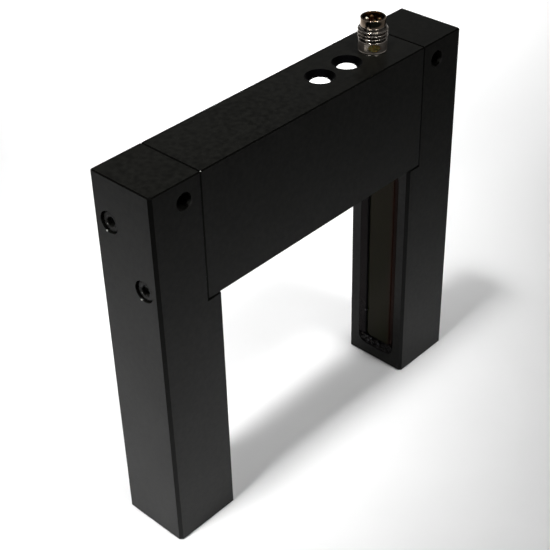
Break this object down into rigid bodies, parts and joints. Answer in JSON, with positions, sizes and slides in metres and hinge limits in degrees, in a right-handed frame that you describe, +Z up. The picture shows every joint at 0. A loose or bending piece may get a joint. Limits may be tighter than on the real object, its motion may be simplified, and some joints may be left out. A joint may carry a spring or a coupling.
{
  "type": "fork sensor",
  "caption": "U-shaped light barrier: square legs on a crossbar, a window in each inner face, a round plug and indicators on top.",
  "frame": {"origin": "centre of the plane of the feet, midway between the legs", "axes": "+X along the crossbar towards the plug, +Y to the back, +Z up"},
  "size_m": [0.113, 0.02, 0.1171],
  "materials": {
    "anodised_black": "black anodised, satin",
    "black_steel": "black oxide",
    "nickel": "nickel plated, turned",
    "gold_contact": "gold plated, bright",
    "filter_pane": "dark tinted, polished",
    "sealing_compound": "glossy, poured",
    "white_lens": "translucent white",
    "amber_window": "translucent amber",
    "insert_brown": "moulded, satin",
    "seal_rubber": "matte",
    "circuit_board": "green solder mask",
    "chip_black": "moulded, matte",
    "diode_clear": "clear resin",
    "lens_clear": "clear, polished",
    "aperture_black": "moulded, matte",
    "socket_white": "moulded, satin",
    "lead_grey": "sleeved, matte"
  },
  "bodies": {
    "root": {"left_leg": "anodised_black", "right_leg": "anodised_black", "crossbar": "anodised_black", "left_upper_screw": "black_steel", "left_lower_screw": "black_steel", "right_upper_screw": "black_steel", "right_lower_screw": "black_steel", "emitter_window": "filter_pane", "receiver_window": "filter_pane", "emitter_window_seal": "sealing_compound", "receiver_window_seal": "sealing_compound", "emitter_lens_strip": "lens_clear", "receiver_lens_strip": "lens_clear", "emitter_aperture_block": "aperture_black", "receiver_aperture_block": "aperture_black", "emitter_board": "circuit_board", "receiver_board": "circuit_board", "emitter_diodes": "diode_clear", "receiver_diodes": "diode_clear", "emitter_board_socket": "socket_white", "receiver_board_socket": "socket_white", "emitter_leads": "lead_grey", "receiver_leads": "lead_grey", "emitter_leads_socket": "socket_white", "receiver_leads_socket": "socket_white", "main_board": "circuit_board", "processor": "chip_black", "signal_amplifier": "chip_black", "voltage_regulator": "chip_black", "small_components": "chip_black", "left_indicator_diode": "diode_clear", "right_indicator_diode": "diode_clear", "left_indicator_lens": "white_lens", "right_indicator_lens": "white_lens", "connector_shell": "nickel", "connector_light_guide": "amber_window", "connector_insert": "insert_brown", "contact_pins": "gold_contact", "connector_seal_ring": "seal_rubber"}
  },
  "joints": []
}
